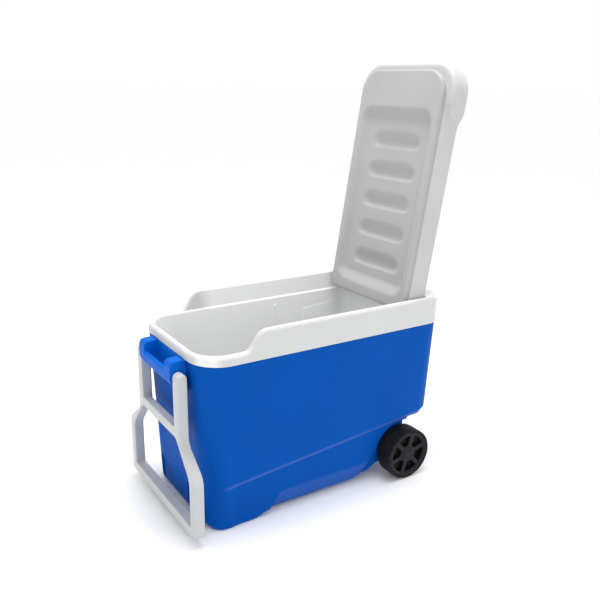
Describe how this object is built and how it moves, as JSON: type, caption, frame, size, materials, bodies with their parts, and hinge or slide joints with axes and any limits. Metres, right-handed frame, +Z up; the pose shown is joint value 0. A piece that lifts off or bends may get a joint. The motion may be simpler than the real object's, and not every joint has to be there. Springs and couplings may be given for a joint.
{
  "type": "wheeled cooler",
  "caption": "Hard-sided wheeled cooler with a hinged lid, an insulated tub inside a two-colour plastic shell, a fold-up tow handle on a front bracket, and spoked wheels at the rear.",
  "frame": {"origin": "on the floor, under the centre of the bounding box with the lid open and the tow handle hanging", "axes": "+Z up; +X from the tow handle at the front to the wheels at the rear; +Y to the left as seen by somebody who stands at the handle and faces the cooler; the axle and all hinge lines run along Y"},
  "size_m": [0.6387, 0.3388, 0.8818],
  "materials": {
    "body_blue": "satin",
    "bracket_blue": "satin",
    "liner_white": "satin",
    "handle_white": "satin",
    "lid_white": "satin",
    "wheel_charcoal": "satin",
    "tread_charcoal": "matte",
    "steel": "satin",
    "foam": "matte"
  },
  "bodies": {
    "body": {"body_shell": "body_blue", "foam_fill_plug": "body_blue", "inner_liner": "liner_white", "insulation_foam": "foam", "front_bracket": "bracket_blue", "bracket_screw_1": "steel", "bracket_screw_2": "steel", "bracket_screw_3": "steel", "bracket_screw_4": "steel", "handle_pin_left": "steel", "handle_pin_right": "steel", "lid_hinge_pin_left": "steel", "lid_hinge_pin_right": "steel", "axle": "steel", "push_nut_left": "steel", "push_nut_right": "steel", "axle_washer_left": "steel", "axle_washer_right": "steel"},
    "handle": {"tow_handle": "handle_white"},
    "lid": {"lid_shell": "lid_white", "lid_inner_panel": "lid_white", "lid_foam": "foam"},
    "wheel_left": {"wheel_left": "wheel_charcoal", "tyre_left": "tread_charcoal", "hub_cap_left": "wheel_charcoal"},
    "wheel_right": {"wheel_right": "wheel_charcoal", "tyre_right": "tread_charcoal", "hub_cap_right": "wheel_charcoal"}
  },
  "joints": [
    {"name": "lid_hinge", "type": "hinge", "parent": "body", "child": "lid", "pos_m": [0.2118, 0, 0.3826], "axis": [0, 1, 0], "range_deg": [-99.2, 0]},
    {"name": "handle_pivot", "type": "hinge", "parent": "body", "child": "handle", "pos_m": [-0.306, 0, 0.3155], "axis": [0, 1, 0], "range_deg": [0, 170]},
    {"name": "wheel_left_spin", "type": "hinge", "parent": "body", "child": "wheel_left", "pos_m": [0.1946, 0, 0.0568], "axis": [0, 1, 0], "continuous": true},
    {"name": "wheel_right_spin", "type": "hinge", "parent": "body", "child": "wheel_right", "pos_m": [0.1946, 0, 0.0568], "axis": [0, 1, 0], "continuous": true}
  ]
}
